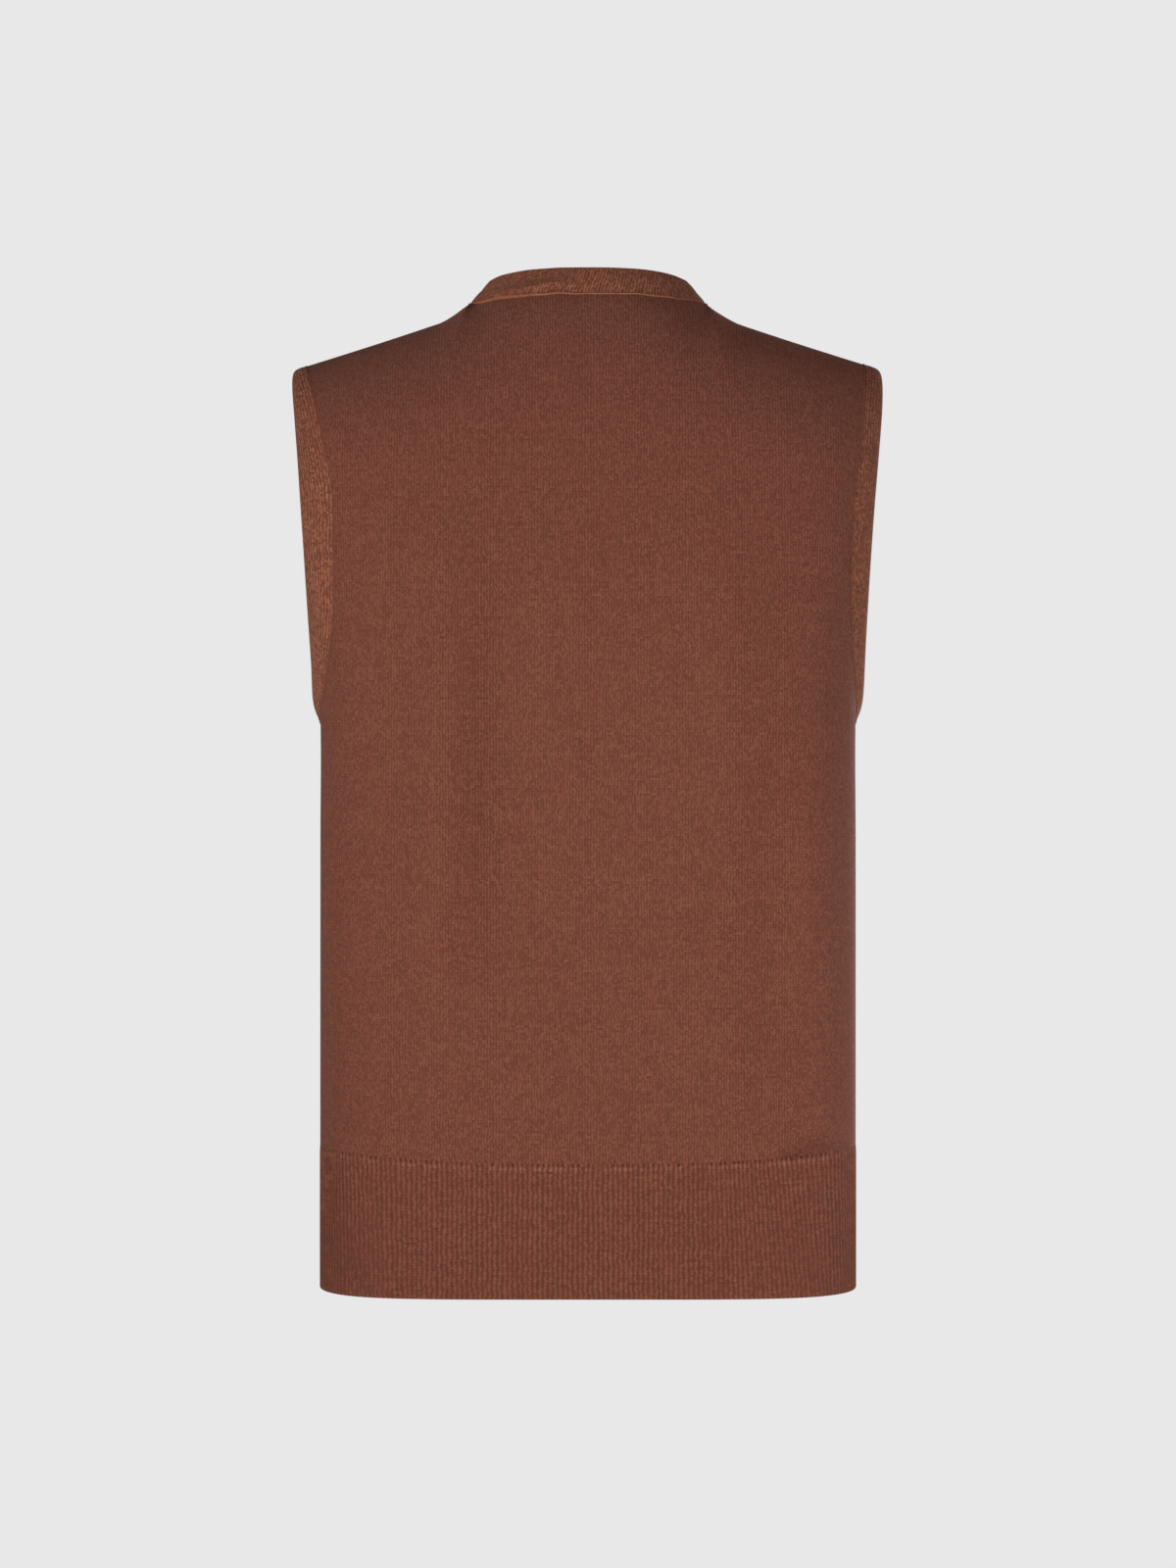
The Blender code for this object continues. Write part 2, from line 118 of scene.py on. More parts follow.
# %% [markdown]
# ## The body as level sections
#
# Cut level, a worn vest is a rounded box: nearly flat across the back and the
# chest, with round corners at the sides. A superellipse gives that with three
# numbers, its half width, its depth and its power. The back and the front have
# a depth each, because a chest reaches further out than shoulder blades do.

# %% Sections of the body
Section = namedtuple("Section", "height half_width back front power")
SECTIONS = (
    Section(HEM, 180.6, 104.0, 102.0, 4.0),
    Section(RIB_TOP, 180.6, 106.0, 104.0, 4.0),
    Section(-450.0, 180.6, 107.0, 107.0, 3.9),
    Section(-350.0, 180.6, 108.0, 111.0, 3.8),
    Section(UNDERARM, 180.6, 109.0, 114.0, 3.7),
    Section(-230.0, 182.0, 109.0, 114.0, 3.7),
    Section(-190.0, 185.0, 108.0, 112.0, 3.7),
    Section(ARM_MIDDLE, 190.5, 105.0, 108.0, 3.6),
    Section(YOKE, 197.0, 99.5, 100.0, 3.4),
)
ARC_SAMPLES = 400


def section_value(column, z):
    heights = [row.height for row in SECTIONS]
    return float(curve(heights, [getattr(row, column) for row in SECTIONS], z)[0])


def level_arc(z, face):
    """x, distance from the middle plane and length of a quarter of the body."""
    width = section_value("half_width", z)
    depth = section_value("back" if face == BACK else "front", z)
    power = section_value("power", z)
    outer = SEAM_GAP / 2 / depth
    angle = np.linspace(0.0, math.atan2((1 - outer**power) ** (1 / power), outer), ARC_SAMPLES)
    reach = (np.cos(angle) ** power + np.sin(angle) ** power) ** (-1 / power)
    x = width * reach * np.sin(angle)
    y = depth * reach * np.cos(angle)
    return x, y, lengths_along(np.column_stack((x, y)))


girth = 2 * sum(level_arc(UNDERARM, face)[2][-1] for face in FACES)
print("girth at the chest in mm:", round(girth))

# %% [markdown]
# ## Rows of knitting across a half panel
#
# A panel is knitted in level rows. Each row here runs from the middle of the
# body to the side seam, or to the armhole where there is one. The armhole is an
# oval when it is seen from the side, so its edge is found by how far it reaches
# forward and back at each height. On the front, the rows above the point of the
# V start at the edge of the V instead of the middle.

# %% A level row
def armhole_reach(z, face, side):
    """How far from the side seam the armhole has cut into a panel at this height."""
    if z <= UNDERARM:
        return SEAM_GAP / 2
    end = UNDERARM if z < ARM_MIDDLE else TIP_HEIGHT
    share = (z - ARM_MIDDLE) / (end - ARM_MIDDLE)
    full = (face, side) == (BACK, LEFT) and z < ARM_MIDDLE
    power = ARM_FULL_POWER if full else ARM_POWER
    oval = (1 - share**power) ** (1 / power)
    return max(ARM_REACH[face, side] * oval, SEAM_GAP / 2)


def neck_edge_x(z):
    """Half the width of the V at this height."""
    return SIDE_NECK[0] * max(z - V_POINT, 0.0) / (SIDE_NECK[2] - V_POINT)


def level_row(z, face, side, shares):
    """Points of a row and how far round the body each one is.

    What the armhole takes away is given up mostly by the outer columns.
    """
    x, y, length = level_arc(z, face)
    start = np.interp(neck_edge_x(z), x, length) if face == FRONT else 0.0
    cut = length[-1] - np.interp(-armhole_reach(z, face, side), -y, length)
    at = start + shares * (length[-1] - start) - shares**2 * cut
    x_at, y_at = np.interp(at, length, x), np.interp(at, length, y)
    return np.column_stack((side * x_at, face * y_at, np.full(len(at), z))), side * at


# %% [markdown]
# ## Over the shoulders
#
# Above the yoke the columns of stitches leave the level sections and run up and
# over to the shoulder seam, or at the back to the neck seam. Each column is one
# Bezier curve: it keeps its direction at the yoke, and lands flat on its seam.

# %% Shoulder and neck seams, and the columns that reach them
Point = namedtuple("Point", "x y z")
BACK_NECK = (
    Point(0.0, 55.0, 13.7),
    Point(36.0, 51.5, 13.3),
    Point(55.0, 43.0, 12.1),
    Point(68.0, 29.0, 11.1),
    Point(76.5, 13.0, 10.8),
    Point(*SIDE_NECK),
)
NECK_SLOPE = math.radians(52)
SEAM_FLAT = 3.0
RISE_SHARE = 0.50
RISE_STEP = 1.0
CROWN_SHARE = 0.55
SIDE_NECK_COLUMN = 0.4375


def shoulder_points(shares, face, side):
    """The shoulder seam: a sagging slope that turns up where it meets the neck."""
    x = SIDE_NECK[0] + shares * (TIP_OUT[side] - SIDE_NECK[0])
    y = SIDE_NECK[1] + shares * (TIP_DEPTH - SIDE_NECK[1]) + face * SEAM_GAP / 2
    slope = TIP_HEIGHT + SHOULDER_SLOPE * (TIP_OUT[LEFT] - x)
    neck_slope = TIP_HEIGHT + SHOULDER_SLOPE * (TIP_OUT[LEFT] - SIDE_NECK[0])
    nearness = np.maximum(1 - (x - SIDE_NECK[0]) / NECK_TURN_WIDTH, 0.0)
    turn_up = (SIDE_NECK[2] - neck_slope) * nearness**NECK_TURN_POWER
    return np.column_stack((side * x, y, slope + turn_up - SHOULDER_SAG * np.sin(math.pi * shares)))


def column_tops(shares, face, side):
    """The seam point where each column ends, and how steeply it lands."""
    if face == FRONT:
        return shoulder_points(shares, face, side), np.zeros(len(shares))
    on_shoulder = np.clip((shares - SIDE_NECK_COLUMN) / (1 - SIDE_NECK_COLUMN), 0, 1)
    round_neck = np.clip(shares / SIDE_NECK_COLUMN, 0, 1)
    half = np.array(BACK_NECK)
    neck = np.vstack((half[:0:-1] * (-1, 1, 1), half))
    along = lengths_along(neck)
    at_neck = curve(along, neck, along[-1] * (0.5 + side * round_neck / 2))
    at_shoulder = shoulder_points(on_shoulder, face, side)
    by_neck = (shares < SIDE_NECK_COLUMN)[:, None]
    slope = np.where(by_neck[:, 0], NECK_SLOPE * (1 - round_neck**2), 0.0)
    return np.where(by_neck, at_neck, at_shoulder), slope


# %% [markdown]
# ## Folds
#
# Cloth that hangs from the shoulders never falls quite flat. Soft troughs run
# down from the armholes and the shoulder blades, each with its own length,
# width and depth. They are listed one by one: a fold follows a line on one
# panel, has the profile of a bell curve across it and fades at both ends. Near a
# side seam every fold fades too, so that the back and the front keep one edge there.

# %% Folds, listed one by one
SEAM_CALM = 40.0
Fold = namedtuple("Fold", "face top_x top_z low_x low_z spread depth")
FOLDS = (
    Fold(BACK, 84.0, -80.0, 108.0, -550.0, 22.0, 8.0),
    Fold(BACK, 48.0, -130.0, 60.0, -560.0, 23.0, -6.5),
    Fold(BACK, -84.0, -70.0, -108.0, -470.0, 25.0, 6.5),
    Fold(BACK, -108.0, -280.0, -58.0, -555.0, 18.0, 6.0),
    Fold(BACK, -140.0, -310.0, -112.0, -555.0, 17.0, -5.0),
    Fold(FRONT, 96.0, -230.0, 104.0, -500.0, 18.0, -2.4),
    Fold(FRONT, -60.0, -260.0, -84.0, -470.0, 17.0, 1.8),
    Fold(FRONT, -112.0, -240.0, -100.0, -420.0, 16.0, -2.0),
    Fold(FRONT, 30.0, -300.0, 16.0, -520.0, 18.0, 1.6),
    Fold(BACK, -86.0, -110.0, -14.0, -300.0, 16.0, 2.8),
    Fold(BACK, -5.0, -340.0, 36.0, -530.0, 12.0, -2.2),
    Fold(BACK, 144.0, -110.0, 142.0, -562.0, 20.0, -3.0),
    Fold(BACK, -150.0, -150.0, -152.0, -563.0, 26.0, 8.0),
    Fold(BACK, -141.0, -535.0, -127.0, -580.0, 6.0, -2.4),
    Fold(BACK, -120.0, -540.0, -136.0, -575.0, 7.0, 1.6),
    Fold(BACK, -112.0, -559.0, -186.0, -553.0, 5.5, -5.0),
    Fold(BACK, 150.0, -300.0, 140.0, -440.0, 12.0, 0.9),
    Fold(FRONT, 130.0, -530.0, 142.0, -585.0, 8.0, -1.1),
    Fold(FRONT, -12.0, -205.0, -26.0, -330.0, 12.0, -0.8),
)


def fold_depth(face, points):
    """How far the folds of one panel push each point outwards."""
    total = np.zeros(points.shape[:-1])
    place = points[..., [0, 2]]
    for fold in FOLDS:
        if fold.face != face:
            continue
        top = np.array((fold.top_x, fold.top_z))
        line = np.array((fold.low_x, fold.low_z)) - top
        offset = place - top
        share = np.clip(offset @ line / (line @ line), 0.0, 1.0)
        away = (offset[..., 0] * line[1] - offset[..., 1] * line[0]) / np.linalg.norm(line)
        bell = np.exp(-((away / fold.spread) ** 2))
        total += fold.depth * np.sin(math.pi * share) ** 2 * bell
    return total * np.clip(np.abs(points[..., 1]) / SEAM_CALM, 0.0, 1.0)


print("folds on the back and front:", [sum(fold.face == face for fold in FOLDS) for face in FACES])

# %% [markdown]
# ## Half panels
#
# The rows and columns together make a net of points for half a panel, with the
# rows closer where the armpit turns. Beside its place, every point gets its
# place on the flat knitting: how far round the body it is, and how far up its
# column. Those two lengths become the UV map, so a stitch has its real size and
# runs the way the yarn was knitted.

# %% The net of points of a half panel
HALF_COLUMNS = 64
BODY_ROWS = 60
ARMPIT_ROWS = 26
CHEST_ROWS = 20
SHOULDER_ROWS = 30


def row_heights():
    """The level rows, from the rib to the yoke."""
    body = np.linspace(RIB_TOP, UNDERARM, BODY_ROWS + 1)
    turn = np.linspace(0.0, math.pi / 2, ARMPIT_ROWS + 1)[1:]
    armpit = UNDERARM + (V_POINT - UNDERARM) * (1 - np.cos(turn))
    chest = np.linspace(V_POINT, YOKE, CHEST_ROWS + 1)[1:]
    return np.concatenate((body, armpit, chest))


def half_panel(face, side):
    """The net of points of a half panel, and each point's place on the flat knitting."""
    shares = np.linspace(0.0, 1.0, HALF_COLUMNS + 1)
    rows, flats = [], []
    for z in row_heights():
        row, around = level_row(z, face, side, shares)
        rows.append(row)
        flats.append(np.column_stack((around, np.full(len(row), z - RIB_TOP))))
    yoke, below = rows[-1], level_row(YOKE - RISE_STEP, face, side, shares)[0]
    seam, slope = column_tops(shares, face, side)
    back = np.column_stack((np.zeros(len(slope)), face * np.cos(slope), -np.sin(slope)))
    end = seam + SEAM_FLAT * back
    rise = (end[:, 2] - yoke[:, 2])[:, None]
    first = yoke + RISE_SHARE * rise * (yoke - below) / RISE_STEP
    second = end + CROWN_SHARE * np.abs(yoke[:, 1] - end[:, 1])[:, None] * back
    x, _, length = level_arc(YOKE, face)
    for t in (*np.linspace(0.0, 1.0, SHOULDER_ROWS + 1)[1:], None):
        if t is None:
            row = seam
        else:
            row = (1 - t) ** 3 * yoke + 3 * (1 - t) ** 2 * t * first
            row = row + 3 * (1 - t) * t**2 * second + t**3 * end
        climbed = flats[-1][:, 1] + np.linalg.norm(row - rows[-1], axis=1)
        around = side * np.interp(np.abs(row[:, 0]), x, length)
        rows.append(row)
        flats.append(np.column_stack((around, climbed)))
    points = np.array(rows)
    points[..., 1] += face * fold_depth(face, points)
    return points, np.array(flats)


halves = {(face, side): half_panel(face, side) for face in FACES for side in (LEFT, RIGHT)}
print("half panel net, rows by columns:", halves[BACK, LEFT][0].shape[:2])

# %% [markdown]
# ## How the cloth settles
#
# Four things happen to the whole vest at once, so they are one function that
# every piece passes through, and seams stay closed. The top of the rib climbs
# towards the side seams, the corners of the hem lift a little, the linked neck
# seam waves up and down, and the surface has a slow unevenness that no knitwear
# is without.

# %% A common shift for every piece
SEAM_RISE = 9.0
SEAM_RISE_POWER = 2.6
SEAM_RISE_ABOVE = 150.0
HEM_LIFT = 2.0
HEM_LIFT_POWER = 8.0
HEM_LIFT_ABOVE = 40.0
NECK_WAVE = 0.9
NECK_WAVE_SIZE = 13.0
NECK_WAVE_REACH = 22.0
NECK_WAVE_PLACE = 4.0
UNEVEN = ((48.0, 0.55), (17.0, 0.16))
HALF_WIDTH = SECTIONS[0].half_width


def settle(points):
    """Points in mm after the cloth has settled, in the same array shape."""
    flat = np.array(points, float).reshape(-1, 3)
    out = np.clip(np.abs(flat[:, 0]) / HALF_WIDTH, 0.0, 1.0)
    z = flat[:, 2].copy()
    below = np.clip((z - HEM) / (RIB_TOP - HEM), 0.0, 1.0)
    above = np.clip((z - RIB_TOP) / SEAM_RISE_ABOVE, 0.0, 1.0)
    flat[:, 2] += SEAM_RISE * out**SEAM_RISE_POWER * below * (1 - above) ** 2
    near_hem = np.clip(1 - (z - HEM) / HEM_LIFT_ABOVE, 0.0, 1.0)
    flat[:, 2] += HEM_LIFT * out**HEM_LIFT_POWER * near_hem**2
    for point in flat:
        face = BACK if point[1] > 0 else FRONT
        shift = sum(depth * noise.noise(Vector(point) / size) for size, depth in UNEVEN)
        point[1] += face * shift * min(abs(point[1]) / SEAM_CALM, 1.0)
        near_seam = max(1 - abs(point[2] - BACK_NECK[0].z) / NECK_WAVE_REACH, 0.0) * (face == BACK)
        wave = noise.noise(Vector((point[0] / NECK_WAVE_SIZE, 0.0, NECK_WAVE_PLACE)))
        point[2] += NECK_WAVE * near_seam * wave
    return flat.reshape(np.shape(points))


# %% [markdown]
# ## Colours and one helper for nodes
#
# Colours are picked as the sRGB hex values that a screen shows. The shader
# works in linear light, so one function turns them. One other function adds a
# node to a material: it takes the node's settings and what goes into each of
# its sockets, either a value or the output of another node.

# %% Colour and node helpers
def linear(hex_colour):
    channels = [int(hex_colour[i : i + 2], 16) / 255 for i in (0, 2, 4)]
    return [c / 12.92 if c <= 0.04045 else ((c + 0.055) / 1.055) ** 2.4 for c in channels] + [1.0]


def add_node(tree, kind, settings=None, sockets=None):
    node = tree.nodes.new("ShaderNode" + kind)
    for name, value in (settings or {}).items():
        setattr(node, name, value)
    for name, value in (sockets or {}).items():
        if isinstance(value, bpy.types.NodeSocket):
            tree.links.new(value, node.inputs[name])
        else:
            node.inputs[name].default_value = value
    return node.outputs


print("rust brown in linear light:", [round(c, 3) for c in linear("794838")])

# %% [markdown]
# ## The knit as a material
#
# Fine-gauge jersey is columns of small V shapes, the wales, in rows, the
# courses. Seen from a few steps away the single stitches melt, and what stays is
# a cross-hatch: some lengths of a wale lie a little lighter, some lengths of a
# course a little darker, and no leg of a V is quite like the next. So the
# pattern is a regular knit, a random value for each leg, short streaks along the
# wales and along the courses, long faint rows where the yarn ran a little
# thicker, and the speckle of spun fibres. All but the fibres are drawn in
# stitches, through the UV map that holds real lengths.
#
# A real 12 gauge wale is 1.7 mm wide and a course 1.45 mm high. Seen whole, the
# vest would lose them, so both are drawn a little coarser.

# %% Knit pattern and wool shader
COARSER = 1.15
WALE = 1.7 * COARSER
COURSE = 1.45 * COARSER
BAND_WALE = 2.0 * COARSER
BAND_COURSE = 1.5 * COARSER
WANDER = (0.8, 0.8, 0.0)
WANDER_START = (-0.4, -0.4, 0.0)
WANDER_SCALE = 0.2
WAVE_UNIT = 2 * math.pi / 20
LEG_LEAN = 0.5
LEGS = (2.0, 1.0, 1.0)
STREAK_LONG = 2.4
STREAK_WIDE = 1.2
STREAKS = ((STREAK_WIDE, 1 / STREAK_LONG, 1.0), (1 / STREAK_LONG, STREAK_WIDE, 1.0))
ROWS = (1 / 45, 0.7, 1.0)
ROWS_SHARE = 0.14
FIBRE_SIZE = 1.1
FIBRE_ROUGHNESS = 0.6
FIBRE_SHARE = 0.2
TONES = (0.36, 0.79)
DYE_SIZE = 12.0
DYE_RANGE = (0.1, 0.9)
RED_SHARE = 0.6
BUMP_STRENGTH = 0.8
WOOL = {
    "Roughness": 0.9,
    "Specular IOR Level": 0.25,
    "Sheen Weight": 0.12,
    "Sheen Roughness": 0.5,
    "Sheen Tint": linear("B87E70"),
}
EYELETS_OPEN = (0.1, 0.7)
Mark = namedtuple("Mark", "low_edge high_edge share hex")
# Each eyelet is a dark spot of painted shade in its hole and a painted highlight on the loop below
# it.
HOLE_SHADE = Mark((-2.4, -1.3), (0.3, -0.6), 0.65, "2E1610")
LOOP_HIGHLIGHT = Mark((-5.4, -4.0), (-2.2, -3.2), 0.3, "B07A62")


def knit_material(
    name, hexes, wale, course, depth, regular=0.5, bars=0.4, streaky=0.14, eyelets=None
):
    """Wool yarn knitted with wales and courses of these sizes in millimetres.

    `hexes` are its light and dark yarn, and the redder fibre that some legs of
    the stitches have more of than others. `regular` is how much the even knit
    shows against the random legs, `bars` how much the courses show against the
    wales, `streaky` how much both give way to short streaks, and `eyelets` the
    pitch in millimetres of small holes along the line where V is zero: each hole
    is a dark spot of painted shade, with a painted highlight on the loop below it.
    """
    light, dark, red = [linear(value) for value in hexes]
    made = bpy.data.materials.new(name)
    made.use_nodes = True
    tree = made.node_tree
    shader = tree.nodes["Principled BSDF"]

    def math_node(operation, *values):
        return add_node(tree, "Math", {"operation": operation}, dict(enumerate(values)))[0]

    def vector_node(operation, *values):
        settings = {"operation": operation}
        return add_node(tree, "VectorMath", settings, dict(enumerate(values)))["Vector"]

    def mix(share, first, second, data_type="FLOAT"):
        sockets = {"Factor": share, "A": first, "B": second}
        return add_node(tree, "Mix", {"data_type": data_type}, sockets)["Result"]

    def tint(share, first, second):
        return mix(share, first, second, "RGBA")

    def smooth(value, low, high):
        sockets = {"Value": value, "From Min": low, "From Max": high}
        return add_node(tree, "MapRange", {"interpolation_type": "SMOOTHSTEP"}, sockets)["Result"]

    def cloudy(vector, scale, detail, **more):
        sockets = {"Vector": vector, "Scale": scale, "Detail": detail, **more}
        return add_node(tree, "TexNoise", None, sockets)

    def streak(scale):
        drawn = add_node(tree, "Mapping", None, {"Vector": stitches, "Scale": scale})[0]
        return cloudy(drawn, 1.0, 1.0)["Fac"]

    place = add_node(tree, "TexCoord")
    per_metre = (1 / (wale * MM), 1 / (course * MM), 1)
    sockets = {"Vector": place["UV"], "Scale": per_metre, "Location": WANDER_START}
    flat = add_node(tree, "Mapping", None, sockets)[0]
    wander = cloudy(flat, WANDER_SCALE, 2.0)["Color"]
    stitches = vector_node("MULTIPLY_ADD", wander, WANDER, flat)

    waves = {"wave_type": "BANDS", "bands_direction": "X", "wave_profile": "SIN"}
    at = {"Vector": stitches, "Scale": WAVE_UNIT}
    wales = add_node(tree, "TexWave", waves, at)["Fac"]
    leg = add_node(tree, "TexWave", {**waves, "wave_profile": "TRI"}, at)["Fac"]
    up = add_node(tree, "SeparateXYZ", None, {0: stitches})["Y"]
    lean = math_node("MULTIPLY_ADD", leg, LEG_LEAN, up)
    leaned = add_node(tree, "CombineXYZ", None, {"X": lean})[0]
    courses = add_node(tree, "TexWave", waves, {"Vector": leaned, "Scale": WAVE_UNIT})["Fac"]
    knit = mix(bars, wales, courses)

    whole = vector_node("FLOOR", vector_node("MULTIPLY", stitches, LEGS))
    random = add_node(tree, "TexWhiteNoise", {"noise_dimensions": "2D"}, {"Vector": whole})
    redness = add_node(tree, "SeparateXYZ", None, {0: random["Color"]})["Y"]
    fibre_scale = 1 / (FIBRE_SIZE * MM)
    fibre = cloudy(place["Object"], fibre_scale, 2.0, Roughness=FIBRE_ROUGHNESS)["Fac"]
    dye = cloudy(place["Object"], 1 / (DYE_SIZE * MM), 2.0)["Fac"]

    streaks = mix(0.5, *[streak(scale) for scale in STREAKS])
    tone = mix(streaky, mix(regular, random["Value"], knit), streaks)
    tone = mix(FIBRE_SHARE, mix(ROWS_SHARE, tone, streak(ROWS)), fibre)
    colour = tint(smooth(tone, *TONES), dark, light)
    spun = math_node("MULTIPLY", smooth(dye, *DYE_RANGE), redness)
    colour = tint(math_node("MULTIPLY", spun, RED_SHARE), colour, red)
    if eyelets:
        across, along = add_node(tree, "SeparateXYZ", None, {0: place["UV"]})[:2]
        cell = math_node("ROUND", math_node("DIVIDE", across, eyelets * MM))
        chance = add_node(tree, "TexWhiteNoise", {"noise_dimensions": "1D"}, {"W": cell})["Value"]
        chance = smooth(chance, *EYELETS_OPEN)
        valleys = math_node("SUBTRACT", 1.0, wales)
        # Painted shade in each hole, on a valley between wales, and a painted highlight on the loop
        # below, on a wale.
        for mark, wide in ((HOLE_SHADE, valleys), (LOOP_HIGHLIGHT, wales)):
            edges = [smooth(along, *[limit * MM for limit in edge]) for edge in mark[:2]]
            within = math_node("MULTIPLY", *edges)
            spot = math_node("MULTIPLY", within, math_node("MULTIPLY", wide, chance))
            colour = tint(math_node("MULTIPLY", spot, mark.share), colour, linear(mark.hex))
    sockets = {"Height": mix(0.5, knit, tone), "Strength": BUMP_STRENGTH, "Distance": depth * MM}
    bump = add_node(tree, "Bump", None, sockets)["Normal"]
    tree.links.new(colour, shader.inputs["Base Color"])
    tree.links.new(bump, shader.inputs["Normal"])
    for socket, value in WOOL.items():
        shader.inputs[socket].default_value = value
    return made


# %% [markdown]
# The body is plain jersey and the hem a 1x1 rib, both right side out. Inside
# the vest the same jersey shows its reverse, where the courses stand up as
# small bars. The bands are knitted a little looser, and their yarn is painted
# lighter than the body's: a painted highlight for the light they catch. The
# rib's knit is drawn at the pitch of its ridges, so that its darker yarn lies in
# the grooves between them as painted shade. Where the rib begins, stitches were
# moved to the next needle, which leaves a row of small eyelets, some open and
# some closed, one to a rib; each hole is a dark spot of painted shade, with a
# painted highlight on the loop below it. The yarn that links the neck is painted
# lightest, a painted highlight on its loops that stand up.

# %% The knits of this vest
RIDGES = 152
RIB_PITCH = 2 * level_arc(RIB_TOP, BACK)[2][-1] / RIDGES
SEAM_STITCH = 7.0
jersey = knit_material("wool_jersey", ("84503E", "5E3425", "74382B"), WALE, COURSE, 0.5)
jersey_reverse = knit_material(
    "wool_jersey_reverse", ("7D4B3B", "583024", "6C3428"), WALE, COURSE, 0.5, bars=0.8
)
# The rib's wales are drawn at the pitch of its ridges, so the dark of the knit falls in the grooves
# between them: painted shade over the modelled ridges.
rib_knit = knit_material(
    "wool_rib_with_groove_shade", ("88513E", "583022", "733629"), RIB_PITCH, COURSE, 0.3,
    regular=0.62, bars=0.34, streaky=0.3, eyelets=RIB_PITCH,
)
# The bands' lighter yarn colours are a painted highlight for the light that they catch.
band_knit = knit_material(
    "wool_band_knit_with_highlight", ("9D634B", "5F3624", "7C3E2D"), BAND_WALE, BAND_COURSE, 0.5,
    regular=0.45, bars=0.2,
)
# The neck's linking yarn is painted lightest: a painted highlight on loops that stand up.
neck_seam_highlight_yarn = knit_material(
    "wool_neck_seam_highlight_yarn", ("DC9874", "7A4734", "9E5A42"), SEAM_STITCH, SEAM_STITCH, 0.2
)
print("materials:", [m.name for m in (jersey, jersey_reverse, rib_knit, band_knit, neck_seam_highlight_yarn)])

# %% [markdown]
# ## From a net of points to cloth
#
# Blender's grid operator makes a sheet of quads with the right number of rows
# and columns. Each vertex is then carried to its place, and each face corner
# gets its place on the flat knitting as its UV. The wall comes from a Solidify
# modifier, which grows inwards so that the outside stays where it is.

# %% Cloth helpers
MERGE_DISTANCE = 0.00001
SHARP_EDGE = math.radians(50)
EDGE_STEPS = 3


def add_grid(mesh, points, flats):
    """Adds a sheet of quads through a net of points, with its flat sizes as UV."""
    rows, columns = points.shape[:2]
    steps = {"x_segments": columns - 1, "y_segments": rows - 1}
    made = bmesh.ops.create_grid(mesh, size=0.5, **steps)["verts"]
    uv = mesh.loops.layers.uv.verify()
    spots = {}
    for vert in made:
        column = round((vert.co.x + 0.5) * (columns - 1))
        row = round((vert.co.y + 0.5) * (rows - 1))
        spots[vert] = (row, column)
        vert.co = points[row, column] * MM
    for face in {face for vert in made for face in vert.link_faces}:
        for loop in face.loops:
            loop[uv].uv = flats[spots[loop.vert]] * MM


def add_piece(name, mesh, *materials):
    """Turns a bmesh into an object of the scene."""
    data = bpy.data.meshes.new(name)
    mesh.to_mesh(data)
    mesh.free()
    data.shade_smooth()
    data.set_sharp_from_angle(angle=SHARP_EDGE)
    for material in materials:
        data.materials.append(material)
    piece = bpy.data.objects.new(name, data)
    bpy.context.scene.collection.objects.link(piece)
    return piece


def add_wall(piece, thickness, rounding, even=True):
    """Thickens a sheet inwards and rounds its edges.

    An even wall keeps its thickness at a crease, but it shoots out into a spike
    at a sharp mitre, so the bands do without.
    """
    wall = piece.modifiers.new("wall", "SOLIDIFY")
    wall.thickness = thickness * MM
    wall.offset = -1.0
    wall.use_even_offset = even
    wall.use_quality_normals = True
    wall.material_offset = len(piece.data.materials) - 1
    edge = piece.modifiers.new("soft_edge", "BEVEL")
    edge.width = rounding * MM
    edge.segments = EDGE_STEPS
    edge.limit_method = "ANGLE"
    edge.angle_limit = SHARP_EDGE
    edge.harden_normals = True


def triangles_of(piece):
    shown = piece.evaluated_get(bpy.context.evaluated_depsgraph_get()).to_mesh()
    return sum(len(face.vertices) - 2 for face in shown.polygons)


# %% [markdown]
# ## Back and front
#
# The back is one net from armhole to armhole. The front is two nets that are
# merged below the point of the V and stay apart above it.

# %% Make the two panels
PANEL_WALL = 2.0
PANEL_EDGE = 0.15


def across(left, right, face):
    """Joins two half rows, or two half nets, in the order that faces outwards."""
    if face == BACK:
        return np.concatenate((left[:, :0:-1], right), axis=1)
    return np.concatenate((right[:, :0:-1], left), axis=1)


left, right = halves[BACK, LEFT], halves[BACK, RIGHT]
mesh = bmesh.new()
add_grid(mesh, settle(across(left[0], right[0], BACK)), across(left[1], right[1], BACK))
back_cloth = add_piece("back_cloth", mesh, jersey, jersey_reverse)
add_wall(back_cloth, PANEL_WALL, PANEL_EDGE)

left, right = halves[FRONT, LEFT], halves[FRONT, RIGHT]
mesh = bmesh.new()
add_grid(mesh, settle(right[0][:, ::-1]), right[1][:, ::-1])
add_grid(mesh, settle(left[0]), left[1])
bmesh.ops.remove_doubles(mesh, verts=mesh.verts[:], dist=MERGE_DISTANCE)
front_cloth = add_piece("front_cloth", mesh, jersey, jersey_reverse)
add_wall(front_cloth, PANEL_WALL, PANEL_EDGE)
print("triangles, back and front:", triangles_of(back_cloth), triangles_of(front_cloth))

# %% [markdown]
# ## The ribbed hem
#
# A 1x1 rib stands up in real ridges, so they are modelled and not drawn. The
# outside of the hem is a net with six columns to a ridge. The net then turns
# round the lower edge in a half circle and goes up again as a plain inside, and
# is closed at the top and at both side seams. The ridges sink in at the top,
# where the jersey begins.

